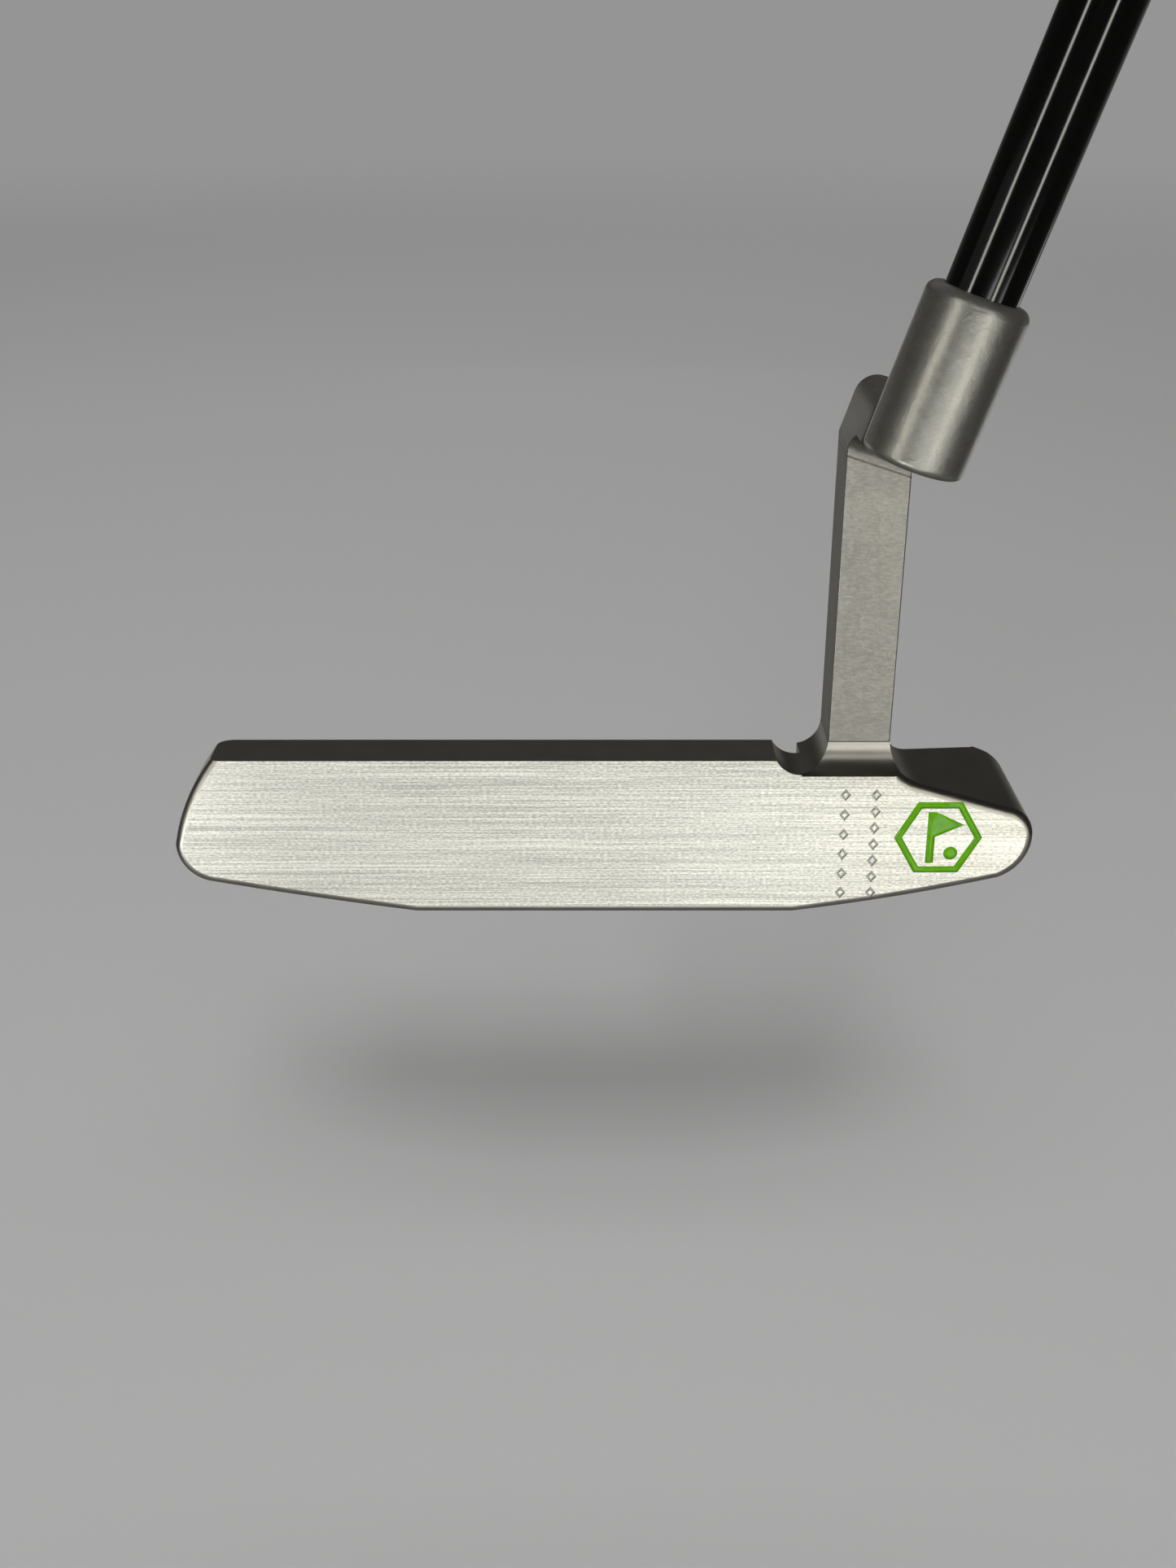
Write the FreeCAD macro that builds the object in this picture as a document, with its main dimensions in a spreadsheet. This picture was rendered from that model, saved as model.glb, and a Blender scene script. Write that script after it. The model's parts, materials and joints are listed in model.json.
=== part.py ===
"""Right-handed blade putter: milled head, offset neck, hosel, tubular shaft and rubber grip.

The frame stands on the sole: the origin is the middle of the flat of the sole, +X runs from toe to
heel, +Y from the striking face to the back, and +Z up. The shaft leans towards the heel by lie_lean.
Lengths are millimetres and angles are degrees.
"""
import FreeCAD, Part
import math
import os
import re

import Sketcher

SIZES = {
    # the blade, looked at from the front
    "face_loft": 3.5,
    "blade_height": 23.4,
    "sole_toe_x": -27.5,
    "sole_heel_x": 26.5,
    "toe_low_x": -56.5,
    "toe_low_z": 4.65,
    "toe_tip_x": -61.45,
    "toe_tip_z": 10.5,
    "toe_top_x": -55.5,
    "heel_low_x": 55.7,
    "heel_low_z": 5.3,
    "heel_tip_x": 60.2,
    "heel_tip_z": 12.0,
    "heel_top_x": 57.3,
    "heel_top_z": 15.8,
    "toe_relief_radius": 600.0,
    "toe_corner_radius": 5.8,
    "toe_side_radius": 29.5,
    "heel_relief_radius": 290.0,
    "heel_low_radius": 7.0,
    "heel_high_radius": 4.1,
    # the notch beside the neck and the boss that carries the neck
    "notch_start_x": 23.35,
    "notch_radius": 3.9,
    "boss_left_x": 30.7,
    "boss_right_x": 39.35,
    "boss_top_z": 25.2,
    "boss_front_y": -8.0,
    "boss_back_y": 0.55,
    "shelf_start_x": 26.9,
    "shelf_width": 15.0,
    "shelf_z": 21.1,
    "shoulder_x": 43.3,
    "shoulder_z": 19.8,
    "shoulder_radius": 5.7,
    # the blade, looked at from above
    "lead_y": -12.0,
    "head_depth": 24.2,
    "bumper_back_y": 10.9,
    "flange_back_radius": 1500.0,
    "toe_back_x": -54.5,
    "toe_side_y": 3.5,
    "heel_back_x": 54.8,
    "heel_side_y": 6.0,
    "back_corner_radius": 7.5,
    "heel_corner_radius": 6.2,
    "topline_back_y": -3.05,
    "topline_corner": 1.8,
    # the cavity behind the face, in two steps
    "flange_z": 7.8,
    "step_z": 13.0,
    "cavity_corner_x": 27.45,
    "cavity_toe_x": -45.0,
    "cavity_toe_back_x": -55.0,
    "cavity_heel_x": 41.5,
    "cavity_heel_back_x": 55.4,
    "floor_toe_x": -38.0,
    "floor_toe_back_x": -45.5,
    "floor_heel_x": 37.5,
    "floor_heel_back_x": 45.5,
    "bumper_toe_z": 14.8,
    "bumper_inner_z": 18.6,
    "trail_relief_y": 7.5,
    "trail_relief_z": 1.6,
    "rim_round": 1.15,
    # sight line and marks
    "sight_width": 1.4,
    "sight_front_y": -1.4,
    "sight_back_y": 9.6,
    "sight_depth": 0.5,
    "motif_x": 46.6,
    "motif_z": 11.9,
    "motif_radius": 6.25,
    "motif_stroke": 1.15,
    "motif_depth": 0.5,
    "paint_proud": 0.06,
    "flag_height": 3.9,
    "flag_reach": 3.6,
    "ball_radius": 1.0,
    "stamp_size": 0.95,
    "stamp_hole": 0.42,
    "stamp_depth": 0.2,
    "stamp_first_x": 33.2,
    "stamp_second_x": 37.5,
    "stamp_top_z": 18.4,
    "stamp_run": 15.0,
    # neck, with its spigot in the head
    "spigot_radius": 2.5,
    "spigot_length": 7.0,
    "braze_gap": 0.1,
    "neck_half_left": 6.4,
    "neck_half_right": 2.25,
    "neck_top": 6.7,
    "neck_corner": 3.0,
    "neck_fillet": 3.2,
    "seam_round": 0.15,
    # the shaft line: where it passes the foot of the hosel, and its lean
    "lie_lean": 18.37,
    "hosel_x": 37.38,
    "hosel_y": -16.7,
    "hosel_z": 66.86,
    "hosel_radius": 6.6,
    "hosel_length": 21.6,
    "hosel_top_round": 1.5,
    "hosel_foot_round": 1.0,
    "hosel_floor": 2.5,
    "seam_gap": 0.1,
    "weld_start": 72.0,
    "weld_stop": 140.0,
    "weld_margin": 0.7,
    "glue_gap": 0.15,
    "glue_floor": 0.5,
    # shaft: a straight tip, then an even taper to the butt
    "tip_radius": 4.7,
    "butt_radius": 7.35,
    "shaft_wall": 0.65,
    "taper_start": 45.0,
    "shaft_end": 789.0,
    "plug_length": 10.0,
    # grip
    "grip_start": 526.0,
    "tape_thickness": 0.25,
    "tape_end_gap": 4.0,
    "cap_thickness": 4.5,
    "cap_round": 2.5,
    "vent_radius": 1.3,
}

# The grip's sections, from its mouth to its butt: how far along the grip, the radius of its round
# back, how far that round is set back from the shaft line, and the distance from the shaft line to
# the flat front.
GRIP_SECTIONS = {
    "mouth": (0.0, 9.4, 0.0, 8.6),
    "lower": (70.0, 10.5, 0.4, 9.0),
    "middle": (140.0, 11.6, 1.0, 9.4),
    "bulge": (195.0, 12.7, 2.0, 9.7),
    "waist": (235.0, 12.2, 2.0, 9.8),
    "butt": (263.0, 13.5, 3.0, 10.2),
}
for place, numbers in GRIP_SECTIONS.items():
    for kind, value in zip(("height", "radius", "setback", "front"), numbers):
        SIZES["grip_%s_%s" % (place, kind)] = value

doc = FreeCAD.newDocument("blade_putter")
sheet = doc.addObject("Spreadsheet::Sheet", "Sizes")
for row, (name, value) in enumerate(SIZES.items(), start=1):
    sheet.set("A%d" % row, name)
    sheet.set("B%d" % row, str(value))
    sheet.setAlias("B%d" % row, name)
doc.recompute()


def bound(text):
    """An expression with each size's name pointed at its cell."""
    def cell(word):
        return "Sizes." + word.group() if word.group() in SIZES else word.group()
    return re.sub(r"[a-z][a-z_]*", cell, str(text))


def amount(text):
    """The number that an expression of sizes works out to."""
    return float(sheet.evalExpression(str(text)))


def drive(item, **settings):
    """Bind each named property of an object to its expression."""
    for name, text in settings.items():
        item.setExpression(name.replace("__", "."), bound(text))


def new_body(label):
    body = doc.addObject("PartDesign::Body", label)
    body.Label = label
    return body


def put_on_shaft_line(body):
    """Turn a body whose Z axis is the shaft's so that it stands at the foot of the hosel."""
    body.Placement = FreeCAD.Placement(FreeCAD.Vector(), FreeCAD.Rotation(FreeCAD.Vector(0, 1, 0), 10))
    drive(body, Placement__Base__x="hosel_x", Placement__Base__y="hosel_y", Placement__Base__z="hosel_z",
          Placement__Rotation__Angle="lie_lean")


def new_sketch(body, plane, name, shift="0", lean=None):
    """A sketch on one of the body's own planes, moved along its normal and leaned back about its X axis."""
    sketch = body.newObject("Sketcher::SketchObject", name)
    support = [item for item in body.Origin.OriginFeatures if item.Role == plane][0]
    sketch.AttachmentSupport = (support, "")
    sketch.MapMode = "FlatFace"
    turn = FreeCAD.Rotation(FreeCAD.Vector(-1, 0, 0), 10 if lean else 0)
    sketch.AttachmentOffset = FreeCAD.Placement(FreeCAD.Vector(0, 0, amount(shift)), turn)
    drive(sketch, AttachmentOffset__Base__z=shift)
    if lean:
        drive(sketch, AttachmentOffset__Rotation__Angle=lean)
    return sketch


def pin(sketch, curve, end, spot):
    """Hold one end of a curve at a spot given as two expressions."""
    for kind, text in zip(("DistanceX", "DistanceY"), spot):
        index = sketch.addConstraint(Sketcher.Constraint(kind, -1, 1, curve, end, amount(text)))
        sketch.setExpression("Constraints[%d]" % index, bound(text))


def arc_between(start, end, radius):
    """The short arc between two points: it turns left when the radius is positive."""
    chord = end - start
    side = FreeCAD.Vector(-chord.y, chord.x, 0).normalize()
    rise = math.sqrt(radius ** 2 - chord.Length ** 2 / 4)
    centre = (start + end) / 2 + side * math.copysign(rise, radius)
    first = math.atan2(start.y - centre.y, start.x - centre.x)
    last = math.atan2(end.y - centre.y, end.x - centre.x)
    if radius < 0:
        first, last = last, first
    circle = Part.Circle(centre, FreeCAD.Vector(0, 0, 1), abs(radius))
    return Part.ArcOfCircle(circle, first, last if last > first else last + 2 * math.pi)


def outline(sketch, steps):
    """Draw a closed outline. Each step is x, y and, where the edge to the next step is an arc, its
    signed radius: positive turns left, negative turns right."""
    spots = [FreeCAD.Vector(amount(step[0]), amount(step[1]), 0) for step in steps]
    for place, step in enumerate(steps):
        following = (place + 1) % len(steps)
        start, end = spots[place], spots[following]
        if len(step) == 2:
            curve = sketch.addGeometry(Part.LineSegment(start, end))
            first_end, last_end = 1, 2
        else:
            radius = amount(step[2])
            curve = sketch.addGeometry(arc_between(start, end, radius))
            first_end, last_end = (1, 2) if radius > 0 else (2, 1)
            index = sketch.addConstraint(Sketcher.Constraint("Radius", curve, abs(radius)))
            sketch.setExpression("Constraints[%d]" % index, "abs(%s)" % bound(step[2]))
        pin(sketch, curve, first_end, step)
        pin(sketch, curve, last_end, steps[following])


def circle(sketch, radius, spot=("0", "0")):
    centre = FreeCAD.Vector(amount(spot[0]), amount(spot[1]), 0)
    curve = sketch.addGeometry(Part.Circle(centre, FreeCAD.Vector(0, 0, 1), amount(radius)))
    index = sketch.addConstraint(Sketcher.Constraint("Radius", curve, amount(radius)))
    sketch.setExpression("Constraints[%d]" % index, bound(radius))
    pin(sketch, curve, 3, spot)


def pad(body, sketch, name, length, backward=False):
    feature = body.newObject("PartDesign::Pad", name)
    feature.Profile = sketch
    feature.Reversed = backward
    drive(feature, Length=length)
    return feature


def pocket(body, sketch, name, length, backward=False):
    """Cut along a sketch's normal, and make sure that something is cut."""
    doc.recompute()
    volume = body.Shape.Volume
    feature = body.newObject("PartDesign::Pocket", name)
    feature.Profile = sketch
    feature.Reversed = backward
    drive(feature, Length=length)
    doc.recompute()
    if body.Shape.Volume > volume - 1e-6:
        raise RuntimeError(name + " cuts nothing")
    return feature


def revolve(body, sketch, name):
    feature = body.newObject("PartDesign::Revolution", name)
    feature.Profile = sketch
    feature.ReferenceAxis = (sketch, ["V_Axis"])
    feature.Angle = 360
    return feature


def round_edges(body, name, radius, chosen):
    """Round the edges of the body's last feature that the test accepts."""
    doc.recompute()
    base = body.Tip
    names = ["Edge%d" % (place + 1) for place, edge in enumerate(base.Shape.Edges) if chosen(edge)]
    feature = body.newObject("PartDesign::Fillet", name)
    feature.Base = (base, names)
    drive(feature, Radius=radius)
    return feature


def middle(edge):
    return edge.valueAt((edge.FirstParameter + edge.LastParameter) / 2)


# ---------------------------------------------------------------- head

def blade_blank(body):
    """The front view of the blade, pushed from the face to the back."""
    sketch = new_sketch(body, "XZ_Plane", "FrontOutline", shift="-lead_y")
    outline(sketch, [
        ("sole_heel_x", "0", "heel_relief_radius"),
        ("heel_low_x", "heel_low_z", "heel_low_radius"),
        ("heel_tip_x", "heel_tip_z", "heel_high_radius"),
        ("heel_top_x", "heel_top_z"),
        ("shoulder_x", "shoulder_z", "-shoulder_radius"),
        ("boss_right_x", "boss_top_z"),
        ("boss_left_x", "boss_top_z", "-notch_radius"),
        ("notch_start_x", "blade_height"),
        ("toe_top_x", "blade_height", "toe_side_radius"),
        ("toe_tip_x", "toe_tip_z", "toe_corner_radius"),
        ("toe_low_x", "toe_low_z", "toe_relief_radius"),
        ("sole_toe_x", "0"),
    ])
    pad(body, sketch, "Blank", "head_depth", backward=True)


def trim_from_above(body):
    """Cut the blank to the top view: rounded back corners and a back edge that bows out slightly."""
    sketch = new_sketch(body, "XY_Plane", "TopOutline", shift="boss_top_z + 5")
    far_x, front_y, far_y = "75", "lead_y - 5", "lead_y + head_depth + 5"
    outline(sketch, [("-75", front_y), (far_x, front_y), (far_x, far_y), ("-75", far_y)])
    outline(sketch, [
        ("-70", "lead_y - 3"),
        ("70", "lead_y - 3"),
        ("70", "heel_side_y"),
        ("heel_tip_x + 0.3", "heel_side_y", "heel_corner_radius"),
        ("heel_back_x", "bumper_back_y", "flange_back_radius"),
        ("toe_back_x", "bumper_back_y", "back_corner_radius"),
        ("toe_tip_x - 0.3", "toe_side_y"),
        ("-70", "toe_side_y"),
    ])
    pocket(body, sketch, "TrimFromAbove", "boss_top_z + 10")


def cut_face(body):
    """The striking face leans back by the loft."""
    sketch = new_sketch(body, "YZ_Plane", "LoftWedge", shift="75")
    outline(sketch, [
        ("lead_y", "0"),
        ("lead_y + tan(face_loft) * (boss_top_z + 1)", "boss_top_z + 1"),
        ("lead_y - 1", "boss_top_z + 1"),
        ("lead_y - 1", "0"),
    ])
    pocket(body, sketch, "LoftCut", "150")


def cut_boss_front(body):
    """The boss stands back from the face, with a round run-out down to the shelf."""
    sketch = new_sketch(body, "YZ_Plane", "BossFront", shift="shelf_start_x")
    outline(sketch, [
        ("lead_y - 1", "shelf_z"),
        ("lead_y + tan(face_loft) * shelf_z", "shelf_z", "notch_radius"),
        ("boss_front_y", "boss_top_z"),
        ("boss_front_y", "boss_top_z + 1"),
        ("lead_y - 1", "boss_top_z + 1"),
    ])
    pocket(body, sketch, "BossFrontCut", "shelf_width", backward=True)


def cut_cavity(body):
    """Two steps behind the topline: the upper one leaves the bumpers, the lower one the flange."""
    beyond = "lead_y + head_depth + 5"
    upper = new_sketch(body, "XY_Plane", "UpperCavity", shift="boss_top_z + 5")
    outline(upper, [
        ("cavity_toe_x", "topline_back_y"),
        ("cavity_corner_x", "topline_back_y"),
        ("cavity_corner_x", "boss_back_y"),
        ("cavity_heel_x", "boss_back_y"),
        ("cavity_heel_back_x", "bumper_back_y - 0.4"),
        ("cavity_heel_back_x", beyond),
        ("cavity_toe_back_x", beyond),
        ("cavity_toe_back_x", "bumper_back_y - 0.4"),
    ])
    pocket(body, upper, "UpperCavityCut", "boss_top_z + 5 - step_z")
    lower = new_sketch(body, "XY_Plane", "LowerCavity", shift="boss_top_z + 5")
    outline(lower, [
        ("floor_toe_x", "topline_back_y"),
        ("cavity_corner_x", "topline_back_y"),
        ("cavity_corner_x", "boss_back_y"),
        ("floor_heel_x", "boss_back_y"),
        ("floor_heel_back_x", beyond),
        ("floor_toe_back_x", beyond),
    ])
    pocket(body, lower, "LowerCavityCut", "boss_top_z + 5 - flange_z")


def lower_toe_bumper(body):
    """The toe bumper is lower than the topline and slopes down to the toe, as the heel does."""
    sketch = new_sketch(body, "XZ_Plane", "ToeBumper", shift="-topline_back_y")
    outline(sketch, [
        ("toe_tip_x - 1", "bumper_toe_z"),
        ("cavity_toe_x + 1", "bumper_inner_z"),
        ("cavity_toe_x + 1", "blade_height + 1"),
        ("toe_tip_x - 1", "blade_height + 1"),
    ])
    pocket(body, sketch, "ToeBumperCut", "head_depth")


def relieve_sole(body):
    """The trailing edge of the sole rises."""
    sketch = new_sketch(body, "YZ_Plane", "TrailRelief", shift="75")
    outline(sketch, [
        ("trail_relief_y", "-1"),
        ("lead_y + head_depth + 1", "-1"),
        ("lead_y + head_depth + 1", "trail_relief_z"),
        ("trail_relief_y", "0"),
    ])
    pocket(body, sketch, "TrailReliefCut", "150")


def cut_sockets(body):
    """A socket in the boss for the neck's spigot, and the sight line's groove in the flange."""
    socket = new_sketch(body, "XY_Plane", "NeckSocket", shift="boss_top_z")
    circle(socket, "spigot_radius + braze_gap", spigot_spot())
    pocket(body, socket, "NeckSocketCut", "spigot_length + braze_gap")
    sight = new_sketch(body, "XY_Plane", "SightLine", shift="flange_z")
    sight_outline(sight)
    pocket(body, sight, "SightLineCut", "sight_depth")


def spigot_spot():
    return "(boss_left_x + boss_right_x) / 2", "(boss_front_y + boss_back_y) / 2"


def sight_outline(sketch):
    half = "sight_width / 2"
    outline(sketch, [
        ("-" + half, "sight_front_y"),
        (half, "sight_front_y"),
        (half, "sight_back_y"),
        ("-" + half, "sight_back_y"),
    ])


def face_sketch(body, name):
    """A sketch on the leaning plane of the face."""
    return new_sketch(body, "XZ_Plane", name, shift="-lead_y", lean="face_loft")


def hexagon(sketch, radius):
    steps = []
    for corner in range(6):
        across = "motif_x + (%s) * cos(%d)" % (radius, 60 * corner)
        up = "motif_z + (%s) * sin(%d)" % (radius, 60 * corner)
        steps.append((across, up))
    outline(sketch, steps)


def motif_frame(sketch):
    hexagon(sketch, "motif_radius")
    hexagon(sketch, "motif_radius - motif_stroke")


def motif_flag(sketch):
    """A flag on its pole: one closed outline."""
    left, right = "motif_x - 1.6", "motif_x - 1.6 + motif_stroke"
    top, foot = "motif_z + flag_height", "motif_z - flag_height"
    outline(sketch, [
        (left, foot),
        (right, foot),
        (right, "motif_z + 0.1"),
        ("motif_x + flag_reach", "motif_z + flag_height / 2"),
        (right, top),
        (left, top),
    ])


def motif_ball(sketch):
    circle(sketch, "ball_radius", ("motif_x + 1.9", "motif_z - 2.4"))


MOTIF = {"face_paint_frame": motif_frame, "face_paint_flag": motif_flag, "face_paint_ball": motif_ball}


def engrave_face(body):
    """Grooves for the painted motif, and two columns of small bare diamonds."""
    for label, draw in MOTIF.items():
        groove = face_sketch(body, "Groove_" + label)
        draw(groove)
        pocket(body, groove, "Cut_" + label, "motif_depth")
    for label, across, count in (("First", "stamp_first_x", 6), ("Second", "stamp_second_x", 7)):
        stamp = face_sketch(body, label + "Stamp")
        for size in ("stamp_size", "stamp_hole"):
            outline(stamp, [
                (across, "stamp_top_z - %s" % size),
                ("%s + 0.8 * %s" % (across, size), "stamp_top_z"),
                (across, "stamp_top_z + %s" % size),
                ("%s - 0.8 * %s" % (across, size), "stamp_top_z"),
            ])
        cut = pocket(body, stamp, label + "StampCut", "stamp_depth")
        column = body.newObject("PartDesign::LinearPattern", label + "Column")
        column.Originals = [cut]
        column.Direction = (stamp, ["V_Axis"])
        column.Reversed = True
        column.Occurrences = count
        drive(column, Length="stamp_run")
        body.Tip = column


def on_face(spot):
    """Whether a point lies in the leaning plane of the face."""
    return abs(spot.y - amount("lead_y") - math.tan(math.radians(amount("face_loft"))) * spot.z) < 1e-3


def is_face_rim(edge):
    """The face's rim round the toe, along the sole and round the tip of the heel; the upper edges
    stay sharp."""
    ends = [vertex.Point for vertex in edge.Vertexes]
    spot = middle(edge)
    inner = amount("boss_right_x") < spot.x < amount("heel_top_x") and spot.z > amount("bumper_toe_z")
    return on_face(ends[0]) and on_face(ends[-1]) and spot.z < amount("bumper_inner_z") and not inner


def is_topline_corner(edge):
    """The upright corner where the back of the topline meets the toe."""
    ends = [vertex.Point for vertex in edge.Vertexes]
    spot = middle(edge)
    behind = all(abs(end.y - amount("topline_back_y")) < 1e-3 for end in ends)
    return behind and spot.x < amount("toe_back_x") and abs(ends[0].z - ends[-1].z) > 5


def make_head():
    body = new_body("blade_head")
    blade_blank(body)
    trim_from_above(body)
    cut_face(body)
    cut_boss_front(body)
    cut_cavity(body)
    lower_toe_bumper(body)
    relieve_sole(body)
    cut_sockets(body)
    round_edges(body, "ToplineCorner", "topline_corner", is_topline_corner)
    round_edges(body, "FaceRim", "rim_round", is_face_rim)
    engrave_face(body)


def make_motif():
    """Each painted stroke fills its own groove and stands slightly proud of the face."""
    for label, draw in MOTIF.items():
        body = new_body(label)
        sketch = new_sketch(body, "XZ_Plane", "Fill_" + label, shift="-lead_y + paint_proud",
                            lean="face_loft")
        draw(sketch)
        pad(body, sketch, "Paint_" + label, "motif_depth + paint_proud", backward=True)


def make_sight_line():
    body = new_body("sight_line_paint")
    sketch = new_sketch(body, "XY_Plane", "SightFill", shift="flange_z - sight_depth")
    sight_outline(sketch)
    pad(body, sketch, "SightPaint", "sight_depth")


# ---------------------------------------------------------------- neck

def along_shaft(across, up):
    """A place in the front view, from its distances across and along the shaft line at the hosel."""
    x = "hosel_x + (%s) * cos(lie_lean) + (%s) * sin(lie_lean)" % (across, up)
    z = "hosel_z - (%s) * sin(lie_lean) + (%s) * cos(lie_lean)" % (across, up)
    return x, z


def bend_height(across, wall):
    """How far along the shaft line the leaning side of the arm meets the upright side at x = wall."""
    return "((%s) - hosel_x - (%s) * cos(lie_lean)) / sin(lie_lean)" % (wall, across)


def make_neck():
    """An upright post on the boss that bends to the shaft's lean and reaches forward to the hosel."""
    body = new_body("neck_post")
    left_bend = bend_height("-neck_half_left", "boss_left_x")
    right_bend = bend_height("neck_half_right", "boss_right_x")
    post = new_sketch(body, "XZ_Plane", "PostOutline", shift="-boss_front_y")
    outline(post, [
        ("boss_left_x", "boss_top_z"),
        ("boss_right_x", "boss_top_z"),
        along_shaft("neck_half_right", right_bend),
        along_shaft("neck_half_right", "neck_top"),
        along_shaft("neck_corner - neck_half_left", "neck_top") + ("neck_corner",),
        along_shaft("-neck_half_left", "neck_top - neck_corner"),
        along_shaft("-neck_half_left", left_bend),
    ])
    pad(body, post, "Post", "boss_back_y - boss_front_y", backward=True)
    arm = new_sketch(body, "XZ_Plane", "ArmOutline", shift="-hosel_y")
    outline(arm, [
        along_shaft("-neck_half_left", "0"),
        along_shaft("neck_half_right", "0"),
        along_shaft("neck_half_right", "neck_top"),
        along_shaft("neck_corner - neck_half_left", "neck_top") + ("neck_corner",),
        along_shaft("-neck_half_left", "neck_top - neck_corner"),
    ])
    pad(body, arm, "Arm", "boss_back_y - 1 - hosel_y", backward=True)
    round_edges(body, "UnderArm", "neck_fillet", is_under_arm)
    doc.recompute()
    bore = body.newObject("PartDesign::SubtractiveCylinder", "HoselSeat")
    bore.Placement = FreeCAD.Placement(FreeCAD.Vector(), FreeCAD.Rotation(FreeCAD.Vector(0, 1, 0), 10))
    drive(bore, Radius="hosel_radius + seam_gap", Height="4 * neck_top",
          Placement__Base__x="hosel_x - 2 * neck_top * sin(lie_lean)", Placement__Base__y="hosel_y",
          Placement__Base__z="hosel_z - 2 * neck_top * cos(lie_lean)",
          Placement__Rotation__Angle="lie_lean")
    round_edges(body, "FootSeam", "seam_round", is_foot)
    spigot = new_sketch(body, "XY_Plane", "Spigot", shift="boss_top_z - spigot_length")
    circle(spigot, "spigot_radius", spigot_spot())
    pad(body, spigot, "SpigotPad", "spigot_length + 1")


def is_under_arm(edge):
    """The inner corner between the front of the post and the underside of the arm."""
    spot = middle(edge)
    ends = [vertex.Point for vertex in edge.Vertexes]
    level = abs(spot.y - amount("boss_front_y")) < 1e-3
    slant = len(ends) == 2 and abs(ends[0].z - ends[1].z) > 1 and abs(ends[0].x - ends[1].x) > 4
    below = spot.z < amount("hosel_z") + 2
    return level and slant and below


def is_foot(edge):
    """The edges round the foot of the post, where it stands on the boss."""
    return all(abs(vertex.Z - amount("boss_top_z")) < 1e-3 for vertex in edge.Vertexes)


def make_braze():
    """The solder film round the neck's spigot, in its socket."""
    body = new_body("neck_braze")
    floor = new_sketch(body, "XY_Plane", "BrazeCup", shift="boss_top_z - spigot_length - braze_gap")
    circle(floor, "spigot_radius + braze_gap", spigot_spot())
    pad(body, floor, "BrazeFilm", "spigot_length + braze_gap")
    hollow = new_sketch(body, "XY_Plane", "BrazeHollow", shift="boss_top_z")
    circle(hollow, "spigot_radius", spigot_spot())
    pocket(body, hollow, "BrazeHollowCut", "spigot_length")


def make_hosel_weld():
    """The film of weld metal in the seat between the arm and the hosel."""
    body = new_body("hosel_weld")
    put_on_shaft_line(body)
    sketch = new_sketch(body, "XY_Plane", "WeldSection")
    inner, outer = "hosel_radius", "(hosel_radius + seam_gap)"
    start, stop = "weld_start", "weld_stop"
    outline(sketch, [
        ("%s * cos(%s)" % (outer, start), "%s * sin(%s)" % (outer, start), outer),
        ("%s * cos(%s)" % (outer, stop), "%s * sin(%s)" % (outer, stop)),
        ("%s * cos(%s)" % (inner, stop), "%s * sin(%s)" % (inner, stop), "-" + inner),
        ("%s * cos(%s)" % (inner, start), "%s * sin(%s)" % (inner, start)),
    ])
    pad(body, sketch, "WeldFilm", "neck_top - weld_margin")


# ---------------------------------------------------------------- hosel, shaft and glue

def profile(body, name, steps):
    """A closed half section in the body's XZ plane, turned about its Z axis."""
    sketch = new_sketch(body, "XZ_Plane", name)
    outline(sketch, steps)
    return revolve(body, sketch, name + "Turn")


def make_hosel():
    body = new_body("hosel_sleeve")
    put_on_shaft_line(body)
    bore = "tip_radius + glue_gap"
    profile(body, "HoselSection", [
        ("0", "0"),
        ("hosel_radius - hosel_foot_round", "0", "hosel_foot_round"),
        ("hosel_radius", "hosel_foot_round"),
        ("hosel_radius", "hosel_length - hosel_top_round", "hosel_top_round"),
        ("hosel_radius - hosel_top_round", "hosel_length"),
        (bore, "hosel_length"),
        (bore, "hosel_floor"),
        ("0", "hosel_floor"),
    ])


def outer_radius(height):
    """The shaft's radius at a height above its straight tip."""
    slope = "(butt_radius - tip_radius) / (shaft_end - taper_start)"
    return "tip_radius + (%s - taper_start) * %s" % (height, slope)


def make_shaft():
    body = new_body("shaft")
    put_on_shaft_line(body)
    foot = "hosel_floor + glue_floor"
    profile(body, "ShaftSection", [
        ("tip_radius - shaft_wall", foot),
        ("tip_radius", foot),
        ("tip_radius", "taper_start"),
        ("butt_radius", "shaft_end"),
        ("butt_radius - shaft_wall", "shaft_end"),
        ("tip_radius - shaft_wall", "taper_start"),
    ])


def make_shaft_glue():
    """Epoxy below the shaft's tip and between the shaft and the bore."""
    body = new_body("shaft_epoxy")
    put_on_shaft_line(body)
    foot = "hosel_floor + glue_floor"
    profile(body, "EpoxySection", [
        ("0", "hosel_floor"),
        ("tip_radius + glue_gap", "hosel_floor"),
        ("tip_radius + glue_gap", "hosel_length"),
        ("tip_radius", "hosel_length"),
        ("tip_radius", foot),
        ("0", foot),
    ])


def make_tip_plug():
    """The cork in the shaft's tip that keeps the epoxy out of the tube."""
    body = new_body("shaft_tip_plug")
    put_on_shaft_line(body)
    foot = "hosel_floor + glue_floor"
    radius = "tip_radius - shaft_wall"
    profile(body, "PlugSection", [
        ("0", foot),
        (radius, foot),
        (radius, foot + " + plug_length"),
        ("0", foot + " + plug_length"),
    ])


# ---------------------------------------------------------------- grip

def make_grip_tape():
    body = new_body("grip_tape")
    put_on_shaft_line(body)
    low, high = outer_radius("grip_start"), outer_radius("(shaft_end - tape_end_gap)")
    profile(body, "TapeSection", [
        (low, "grip_start"),
        ("%s + tape_thickness" % low, "grip_start"),
        ("%s + tape_thickness" % high, "shaft_end - tape_end_gap"),
        (high, "shaft_end - tape_end_gap"),
    ])


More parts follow.
